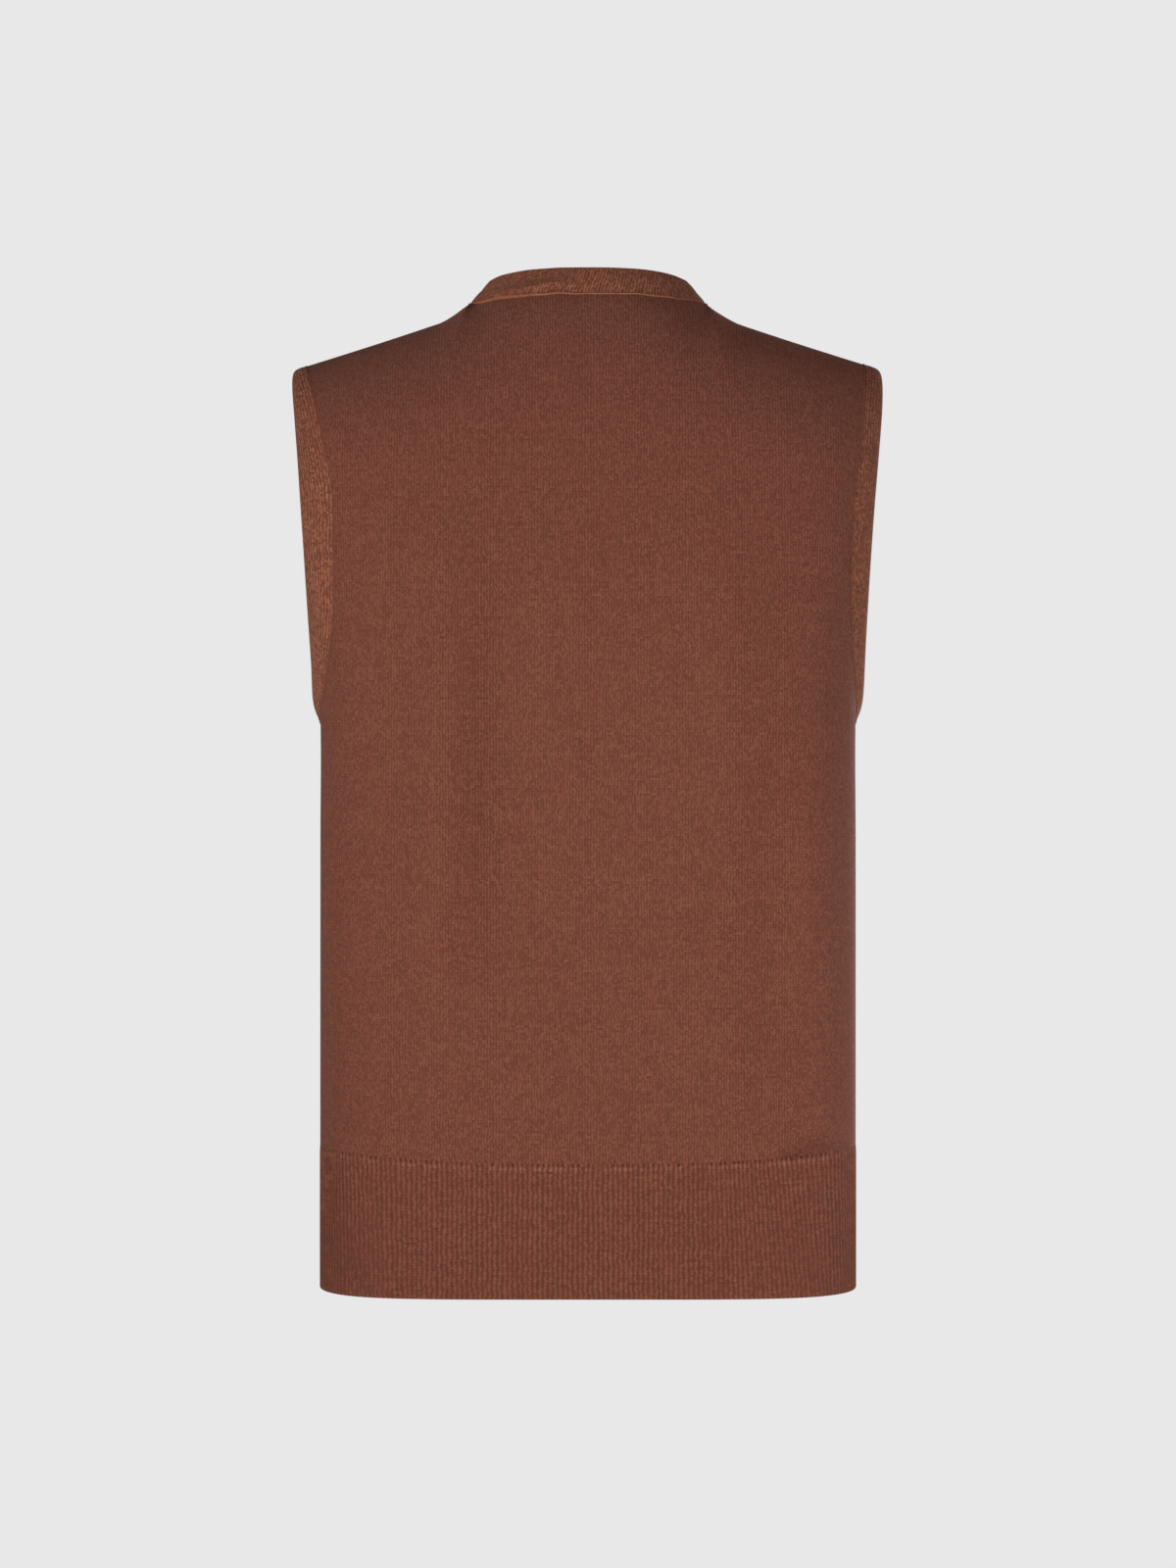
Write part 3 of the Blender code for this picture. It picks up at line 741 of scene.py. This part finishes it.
# %% Ribs in round ridges
RIDGE_COLUMNS = 6
RIDGE_HEIGHT = 0.6
RIB_WALL = 2.4
RIB_ROWS = 20
RIB_FADE = 4.0
EDGE_TURNS = 4
INSIDE_ROWS = 3
Lean = namedtuple("Lean", "face side middle spread reach")
LEANS = (
    Lean(BACK, RIGHT, 0.56, 0.18, 8.0),
    Lean(BACK, LEFT, 0.62, 0.14, -2.5),
    Lean(FRONT, RIGHT, 0.6, 0.2, -3.0),
)


def outward(row, face):
    """The level direction away from the body at each point of a row."""
    tangent = np.gradient(row, axis=0)
    normal = np.column_stack((tangent[:, 1], -tangent[:, 0], np.zeros(len(row))))
    normal /= np.linalg.norm(normal, axis=1)[:, None]
    return normal * np.sign(np.sum(normal[:, 1]) * face)


def rib_row(z, face):
    """A level row round a hem half, with some ribs leaning where the cloth pulls."""
    shares = np.linspace(0.0, 1.0, RIDGES * RIDGE_COLUMNS // 2 + 1)
    height = (z - HEM) / (RIB_TOP - HEM)
    ends, arounds = {}, {}
    for side in (LEFT, RIGHT):
        length = level_arc(z, face)[2][-1]
        moved = shares.copy()
        for lean in LEANS:
            if (lean.face, lean.side) == (face, side):
                bell = np.exp(-(((shares - lean.middle) / lean.spread) ** 2))
                moved -= lean.reach / length * height * (bell * np.sin(math.pi * shares))
        row, _ = level_row(z, face, side, moved)
        ends[side] = row[None]
        arounds[side] = side * shares[None] * length
    return [across(parts[LEFT], parts[RIGHT], face)[0] for parts in (ends, arounds)]


def build_rib(name, face):
    """One half of the hem, closed all round."""
    count = RIDGES * RIDGE_COLUMNS
    phase = 2 * math.pi * np.arange(count + 1) / RIDGE_COLUMNS
    ridge = -RIDGE_HEIGHT / 2 * np.cos(phase)
    rows, flats = [], []

    def add_row(z, inset, share, up):
        row, around = rib_row(z, face)
        rows.append(row + outward(row, face) * (ridge * share - inset)[:, None])
        flats.append(np.column_stack((around, np.full(count + 1, up))))

    for z in np.linspace(RIB_TOP, HEM + RIB_WALL / 2, RIB_ROWS + 1):
        add_row(z, 0.0, min((RIB_TOP - z) / RIB_FADE, 1.0), z - RIB_TOP)
    for turn in np.linspace(0.0, math.pi, EDGE_TURNS + 1)[1:]:
        drop = RIB_WALL / 2 * math.sin(turn)
        inset = RIB_WALL / 2 * (1 - math.cos(turn))
        add_row(HEM + RIB_WALL / 2 - drop, inset, 1 - turn / math.pi, HEM - RIB_TOP - inset)
    for z in np.linspace(HEM + RIB_WALL / 2, RIB_TOP, INSIDE_ROWS + 1)[1:]:
        add_row(z, RIB_WALL, 0.0, HEM - RIB_TOP - RIB_WALL - (z - HEM))
    rows.append(rows[0])
    flats.append(flats[0])
    mesh = bmesh.new()
    add_grid(mesh, settle(np.array(rows))[::-1], np.array(flats)[::-1])
    bmesh.ops.remove_doubles(mesh, verts=mesh.verts[:], dist=MERGE_DISTANCE)
    ends = [edge for edge in mesh.edges if edge.is_boundary]
    bmesh.ops.holes_fill(mesh, edges=ends, sides=0)
    return add_piece(name, mesh, rib_knit)


hem_back = build_rib("hem_rib_back_cloth", BACK)
hem_front = build_rib("hem_rib_front_cloth", FRONT)
print("triangles, hem:", triangles_of(hem_back), triangles_of(hem_front))

# %% [markdown]
# ## Bands
#
# A band is a folded strip that is linked to the edge of the panels. It leaves
# the seam flush with the cloth, a little raised, swells over its middle and
# ends in a rounded free edge. The strip is drawn between two rings, the seam
# and the free edge, as one Bezier curve for each point round the ring.

# %% The strip of a band
BAND_FLAT = 1.5
BAND_WALL = 3.0
BAND_ROUNDING = 1.3
BAND_ROWS = 12
CORNER_REACH = 0.72
CORNER_WEIGHT = 1.6


def unit(vectors):
    return vectors / np.linalg.norm(vectors, axis=1)[:, None]


def band_strip(seam, inside, free, bulge, corner, raised):
    """Rows of points from the seam to the free edge.

    `inside` lies beside the seam on the panel. `bulge` is how far the middle of
    the band swells, `corner` how squarely it turns and `raised` how far its foot
    stands above the panel.
    """
    bulge, corner, raised = [np.asarray(values)[:, None] for values in (bulge, corner, raised)]
    tangent = unit(np.roll(seam, -1, axis=0) - np.roll(seam, 1, axis=0))
    normal = unit(np.cross(tangent, seam - inside))
    towards = unit(np.cross(normal, tangent))
    towards *= np.sign(np.sum(towards * (seam - inside), axis=1))[:, None]
    root = seam + towards * SEAM_GAP + normal * raised
    start = root + towards * BAND_FLAT
    crown_side = np.cross(tangent, unit(free - start))
    crown_side = unit(crown_side * np.sign(np.sum(crown_side * normal, axis=1))[:, None])
    crown = (start + free) / 2 + crown_side * bulge
    straight_on = start + CORNER_REACH * towards * np.sum((free - start) * towards, axis=1)[:, None]
    crown = crown + corner * (straight_on - crown)
    rows = [root]
    for t in np.linspace(0.0, 1.0, BAND_ROWS + 1):
        stay = (1 - t) ** 2
        turn = 2 * t * (1 - t) * (1 + CORNER_WEIGHT * corner)
        rows.append((stay * start + turn * crown + t**2 * free) / (stay + turn + t**2))
    return np.array(rows)


def build_band(name, strip, along_wales, slant):
    """Closes a strip into a ring. Its wales run along it, or across it and slanting."""
    ring = np.concatenate((strip, strip[:, :1]), axis=1)
    round_it = lengths_along(ring[0])
    over = np.array([lengths_along(column) for column in ring.transpose(1, 0, 2)]).T
    around = np.broadcast_to(round_it, over.shape)
    flat = np.stack((over, around) if along_wales else (around + slant * over, over), axis=-1)
    mesh = bmesh.new()
    add_grid(mesh, settle(ring), flat)
    bmesh.ops.remove_doubles(mesh, verts=mesh.verts[:], dist=MERGE_DISTANCE)
    piece = add_piece(name, mesh, band_knit)
    add_wall(piece, BAND_WALL, BAND_ROUNDING, even=False)
    return piece


# %% [markdown]
# The armhole ring follows the outer columns of both panels. Its free edge turns
# in towards the middle of the arm, by the width of the band.

# %% Armhole bands
ARM_BAND_WIDTH = 25.0
ARM_EDGE_TOP = 199.4
ARM_EDGE_BOTTOM = 185.5
ARM_EDGE_DISH = 1.8
ARM_LEAST_TURN_IN = 1.0
Form = namedtuple("Form", "angle bulge corner raised")
ARM_FORM = (
    Form(0.0, 5.0, 1.0, 0.2),
    Form(30.0, 5.0, 0.8, 0.3),
    Form(60.0, 5.0, 0.3, 0.4),
    Form(90.0, 5.0, 0.0, 0.4),
    Form(135.0, 4.5, 0.0, 0.6),
    Form(180.0, 4.0, 0.0, 1.8),
)


def armhole_ring(side):
    """The armhole's edge round both panels, and the points one column further in."""
    back, front = halves[BACK, side][0], halves[FRONT, side][0]
    first = BODY_ROWS
    seam = np.concatenate((back[:first:-1, -1], front[first:-1, -1]))
    inside = np.concatenate((back[-2 : first - 1 : -1, -2], front[first - 1 : -2, -2]))
    order = -1 if side == LEFT else 1
    return seam[::order], inside[::order]


def armhole_edge(seam, side):
    """The free edge of an armhole band, and the form of the band at each point."""
    reach = max(ARM_REACH.values())
    turn = np.arctan2(seam[:, 1] / reach, (seam[:, 2] - ARM_MIDDLE) / (ARM_MIDDLE - UNDERARM))
    share = (TIP_HEIGHT - seam[:, 2]) / (TIP_HEIGHT - UNDERARM)
    out = ARM_EDGE_TOP + share * (ARM_EDGE_BOTTOM - ARM_EDGE_TOP)
    out = out - ARM_EDGE_DISH * np.sin(turn) ** 2
    step = out - np.abs(seam[:, 0])
    inward = np.sqrt(np.maximum(ARM_BAND_WIDTH**2 - step**2, ARM_LEAST_TURN_IN**2))
    edge = seam.copy()
    edge[:, 0] = side * out
    edge[:, 1] -= inward * np.sin(turn)
    edge[:, 2] -= inward * np.cos(turn)
    angles, forms = [row.angle for row in ARM_FORM], [row[1:] for row in ARM_FORM]
    form = curve(angles, forms, np.degrees(np.abs(turn)))
    return edge, *np.maximum(form, 0.0).T


arm_seams, arm_bands = {}, {}
for side, word in SIDES:
    seam, inside = armhole_ring(side)
    strip = band_strip(seam, inside, *armhole_edge(seam, side))
    arm_seams[side] = seam
    arm_bands[side] = build_band(f"armhole_band_{word}_cloth", strip, True, 0.0)
rounds = [round(lengths_along(seam)[-1]) for seam in arm_seams.values()]
print("armhole round its seam in mm:", rounds)

# %% [markdown]
# The neck ring starts at the point of the V, climbs the left edge of the front,
# goes round the back of the neck and comes down on the right. The free edge has
# a short table of its own, because it stands up behind the neck and lies down
# along the V. Its wales run across it and lean with the stretch of the band.
# A little to the left at the back, the linking pulls it into one small crease.

# %% Neck band
NECK_BULGE = 1.6
NECK_RAISE = 0.6
NECK_SLANT = -0.35
PUCKER_X = 44.0
PUCKER_WIDTH = 26.0
PUCKER_HEIGHT = 4.8
PUCKER_START = 0.24
PUCKER_SPREAD = 0.15
PUCKER_RISE = -0.005
SIDE_NECK_POINT = 6
NECK_EDGE = (
    Point(0.0, 44.0, 32.8),
    Point(22.0, 43.0, 32.5),
    Point(45.0, 37.0, 31.0),
    Point(57.0, 29.0, 29.0),
    Point(64.0, 17.5, 27.2),
    Point(67.5, 6.0, 26.0),
    Point(68.5, -5.0, 24.0),
    Point(66.0, -32.0, 13.0),
    Point(53.5, -70.0, -20.0),
    Point(36.5, -93.0, -64.0),
    Point(21.0, -103.5, -102.0),
    Point(0.0, -109.0, -144.0),
)


def neck_half(side):
    """From the V or to it: the seam, the points beside it and the free edge."""
    back, front = halves[BACK, side][0], halves[FRONT, side][0]
    columns = round(HALF_COLUMNS * SIDE_NECK_COLUMN)
    first = BODY_ROWS + ARMPIT_ROWS
    climb = front[first:, 0]
    seam = np.vstack((climb[:-1], back[-1, columns::-1]))
    on_shoulder = back[-1, columns + 1 : columns + 2]
    inside = np.vstack(
        (front[first - 1, :1], front[first + 1 : -1, 1], on_shoulder, back[-2, columns - 1 :: -1])
    )
    half = np.array(NECK_EDGE)
    lengths = lengths_along(half)
    risen = lengths_along(climb)
    before = lengths[-1] - risen[:-1] / risen[-1] * (lengths[-1] - lengths[SIDE_NECK_POINT])
    behind = np.linspace(lengths[SIDE_NECK_POINT], 0.0, columns + 1)
    chain = np.vstack((half[:0:-1] * (-1, 1, 1), half))
    places = np.concatenate((-lengths[:0:-1], lengths))
    return seam, inside, curve(places, chain, side * np.concatenate((before, behind)))


neck_seam, neck_inside, neck_free = [
    np.vstack((up, down[-2:0:-1])) for up, down in zip(neck_half(LEFT), neck_half(RIGHT))
]
count = len(neck_seam)
neck_form = [np.full(count, value) for value in (NECK_BULGE, 0.0, NECK_RAISE)]
neck_strip = band_strip(neck_seam, neck_inside, neck_free, *neck_form)
beside = neck_seam[:, 0] - PUCKER_X
over = np.linspace(0.0, 1.0, BAND_ROWS + 1)[:, None] - PUCKER_START - PUCKER_RISE * beside
pucker = np.exp(-((beside / PUCKER_WIDTH) ** 2)) * (neck_seam[:, 1] > 0)
pucker = pucker * np.exp(-((over / PUCKER_SPREAD) ** 2))
neck_strip[1:, :, 1] += PUCKER_HEIGHT * pucker
neck_band = build_band("neck_band_cloth", neck_strip, False, NECK_SLANT)
print("neck round its seam in mm:", round(lengths_along(neck_seam)[-1]))

# %% [markdown]
# ## Linked seams
#
# Knitwear isn't sewn but linked: one loop of yarn passes through each pair of
# stitches, and the row of loops shows as a fine cord along the seam. Each loop
# is a small grain, and the same grain is set again and again along the seam's
# line, turned a little to one side and then to the other. The loops bunch up
# in the crease of the neck band and at the armpits, so they are thicker there.

# %% A row of linking loops
GRAIN_TILT = math.radians(14)
GRAIN_LENGTH = 0.66
SEAM_FOOT = 1.5
LINE_POINTS = 20
Loops = namedtuple("Loops", "pitch radius")
NECK_LOOPS = Loops(1.8, 0.65)
ARM_LOOPS = Loops(2.0, 0.6)
FLAT_LOOPS = Loops(2.0, 0.4)
Gather = namedtuple("Gather", "place reach swell")


def build_seam(name, path, loops, yarn, gather=None):
    """Grains of yarn along a path in millimetres, joined as one mesh.

    `gather` is a place where the loops bunch up, so the grains are thicker there.
    """
    pitch = loops.pitch
    path = settle(path)
    along = lengths_along(path)
    count = max(int(along[-1] / pitch), 2)
    places = (np.arange(count) + 0.5) * along[-1] / count
    mesh = bmesh.new()
    for i, at in enumerate(places):
        spot = [np.interp(at, along, path[:, axis]) for axis in range(3)]
        around = (at - pitch / 2, at + pitch / 2)
        near = [np.interp(around, along, path[:, axis]) for axis in range(3)]
        heading = Vector([pair[1] - pair[0] for pair in near])
        turn = heading.to_track_quat("X", "Z").to_matrix().to_4x4()
        tilt = Matrix.Rotation(GRAIN_TILT * (-1) ** i, 4, "Z")
        thick = loops.radius * MM
        if gather:
            away = math.dist(spot, gather.place) / gather.reach
            thick *= 1 + gather.swell * math.exp(-(away**2))
        size = Matrix.Diagonal((pitch * GRAIN_LENGTH * MM, thick, thick, 1.0))
        matrix = Matrix.Translation(Vector(spot) * MM) @ turn @ tilt @ size
        bmesh.ops.create_uvsphere(mesh, u_segments=6, v_segments=5, radius=1.0, matrix=matrix)
    piece = add_piece(name, mesh, yarn)
    return piece


half_gap = (0, SEAM_GAP / 2, 0)
crease = Gather(place=(PUCKER_X + 8, 46.0, 13.0), reach=PUCKER_WIDTH, swell=1.5)
ring = np.vstack((neck_strip[0], neck_strip[0][:1]))
# The neck loops carry the painted highlight of the lightest yarn.
seams = [build_seam("neck_seam", ring, NECK_LOOPS, neck_seam_highlight_yarn, crease)]
for side, word in SIDES:
    ring = np.vstack((arm_seams[side], arm_seams[side][:1]))
    armpit = Gather(place=ring[np.argmin(ring[:, 2])], reach=18.0, swell=1.7)
    # The armhole loops share the band yarn and its painted highlight.
    seams.append(build_seam(f"armhole_seam_{word}", ring, ARM_LOOPS, band_knit, armpit))
    line = shoulder_points(np.linspace(0.0, 1.0, LINE_POINTS), BACK, side) - half_gap
    seams.append(build_seam(f"shoulder_seam_{word}", line, FLAT_LOOPS, jersey))
    heights = np.linspace(HEM + SEAM_FOOT, RIB_TOP, LINE_POINTS)[:-1]
    rib_line = [level_row(z, BACK, side, np.ones(1))[0][0] for z in heights]
    line = np.vstack((rib_line, halves[BACK, side][0][: BODY_ROWS + 1, -1])) - half_gap
    seams.append(build_seam(f"side_seam_{word}", line, FLAT_LOOPS, jersey))
print("seam triangles:", [triangles_of(seam) for seam in seams])

# %% [markdown]
# ## What stands for what
#
# Each sheet replaces its node of the imported model, which is hidden, and rides
# on its body. The table lists for each sheet its piece, node and slot, and the
# width, length and area it was cut, or here knitted, to; nothing here reads the
# slot or the sizes.

# %% Hide the replaced nodes and attach the cloth
Cut = namedtuple("Cut", "piece node slot width length area")
CUTS = (
    Cut(back_cloth, "back_panel", "body_knit", 0.50, 0.62, None),
    Cut(front_cloth, "front_panel", "body_knit", 0.50, 0.60, None),
    Cut(hem_back, "hem_rib_back", "rib_knit", 0.50, 0.09, None),
    Cut(hem_front, "hem_rib_front", "rib_knit", 0.50, 0.09, None),
    Cut(neck_band, "neck_band", "band_knit", 0.66, 0.028, None),
    Cut(arm_bands[LEFT], "armhole_band_left", "band_knit", 0.56, 0.030, None),
    Cut(arm_bands[RIGHT], "armhole_band_right", "band_knit", 0.56, 0.030, None),
)
for cut in CUTS:
    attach(cut.piece, "root")
    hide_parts(cut.node)
for seam in seams:
    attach(seam, "root")

# %% [markdown]
# ## Stage, light and camera
#
# The vest hangs in front of a plain pale backdrop with a floor well below it.
# Two soft lamps stand low on both sides of the camera, the left one stronger,
# so that the shoulders turn a little darker than the back. A grid in front of
# a lamp narrows its beam: that spreads a gentle gradient over the cloth and
# keeps the floor calm. A wide lamp lights the front, a small one brightens the
# lower right edge, and a cool one from above keeps the shoulders' colour.

# %% Stage and light
PALE = "E8E8E8"
FLOOR_Z = -1.4
FLOOR_RADIUS = 3.9
FLOOR_SIDES = 96
FLOOR_ROUGHNESS = 0.9
FLOOR_GLOW = 0.45
ROOM_LIGHT = 0.25

floor_mesh = bmesh.new()
bmesh.ops.create_circle(floor_mesh, cap_ends=True, segments=FLOOR_SIDES, radius=FLOOR_RADIUS)
bmesh.ops.translate(floor_mesh, verts=floor_mesh.verts[:], vec=(0.0, 0.0, FLOOR_Z))
floor_paint = bpy.data.materials.new("matt_studio_floor")
floor_paint.use_nodes = True
paint = floor_paint.node_tree.nodes["Principled BSDF"].inputs
paint["Base Color"].default_value = linear(PALE)
paint["Roughness"].default_value = FLOOR_ROUGHNESS
paint["Emission Color"].default_value = linear(PALE)
paint["Emission Strength"].default_value = FLOOR_GLOW
floor = add_piece("floor", floor_mesh, floor_paint)

scene = bpy.context.scene
scene.view_settings.view_transform = "Standard"
world = bpy.data.worlds.new("studio")
scene.world = world
world.use_nodes = True
backdrop = world.node_tree.nodes["Background"]
backdrop.inputs["Color"].default_value = linear(PALE)
seen = add_node(world.node_tree, "LightPath")["Is Camera Ray"]
room = {"Value": seen, "To Min": ROOM_LIGHT, "To Max": 1.0}
strength = add_node(world.node_tree, "MapRange", None, room)
world.node_tree.links.new(strength["Result"], backdrop.inputs["Strength"])


def add_light(name, place, target, size, watts, spread=180.0, colour=(1.0, 1.0, 1.0)):
    """A round lamp. `spread` is the angle in degrees that a grid leaves of its beam."""
    data = bpy.data.lights.new(name, "AREA")
    data.shape = "DISK"
    data.size = size
    data.energy = watts
    data.spread = math.radians(spread)
    data.color = colour
    light = bpy.data.objects.new(name, data)
    light.location = place
    light.rotation_mode = "QUATERNION"
    light.rotation_quaternion = (Vector(target) - Vector(place)).to_track_quat("-Z", "Y")
    light.visible_camera = False
    scene.collection.objects.link(light)


CHEST = (0.0, 0.0, -0.35)
UPPER_BACK = (-0.1, 0.0, -0.15)
LOW_RIGHT = (-0.15, 0.0, -0.65)
RIGHT_EDGE = (-0.18, 0.0, -0.52)
GRID = 40.0
FINE_GRID = 34.0
COOL = (0.86, 0.9, 1.0)
add_light("key", (2.5, 3.05, -1.15), UPPER_BACK, 1.2, 8.2, GRID)
add_light("fill", (-2.5, 2.85, -0.85), LOW_RIGHT, 0.9, 2.7, FINE_GRID)
add_light("front_fill", (-0.8, -3.6, -0.3), CHEST, 2.4, 19.0, 2 * GRID)
add_light("right_rim", (-1.9, -0.5, -1.1), RIGHT_EDGE, 0.6, 0.5, GRID)
add_light("top", (-1.0, 1.8, 2.2), CHEST, 1.6, 11.0, colour=COOL)

# %% The camera behind the wearer
CAMERA_DISTANCE = 4.0
CAMERA_Z = -0.314
SEEN_HEIGHT = 1.064
SENSOR = 36.0

camera_data = bpy.data.cameras.new("camera")
camera_data.sensor_width = SENSOR
camera_data.lens = SENSOR * CAMERA_DISTANCE / SEEN_HEIGHT
camera = bpy.data.objects.new("camera", camera_data)
camera.location = (0.0, CAMERA_DISTANCE, CAMERA_Z)
camera.rotation_euler = (math.pi / 2, 0.0, math.pi)
scene.collection.objects.link(camera)
scene.camera = camera
print("lens in mm:", round(camera_data.lens, 1))

# %% [markdown]
# ## Finish

# %% Update the scene
bpy.context.view_layer.update()
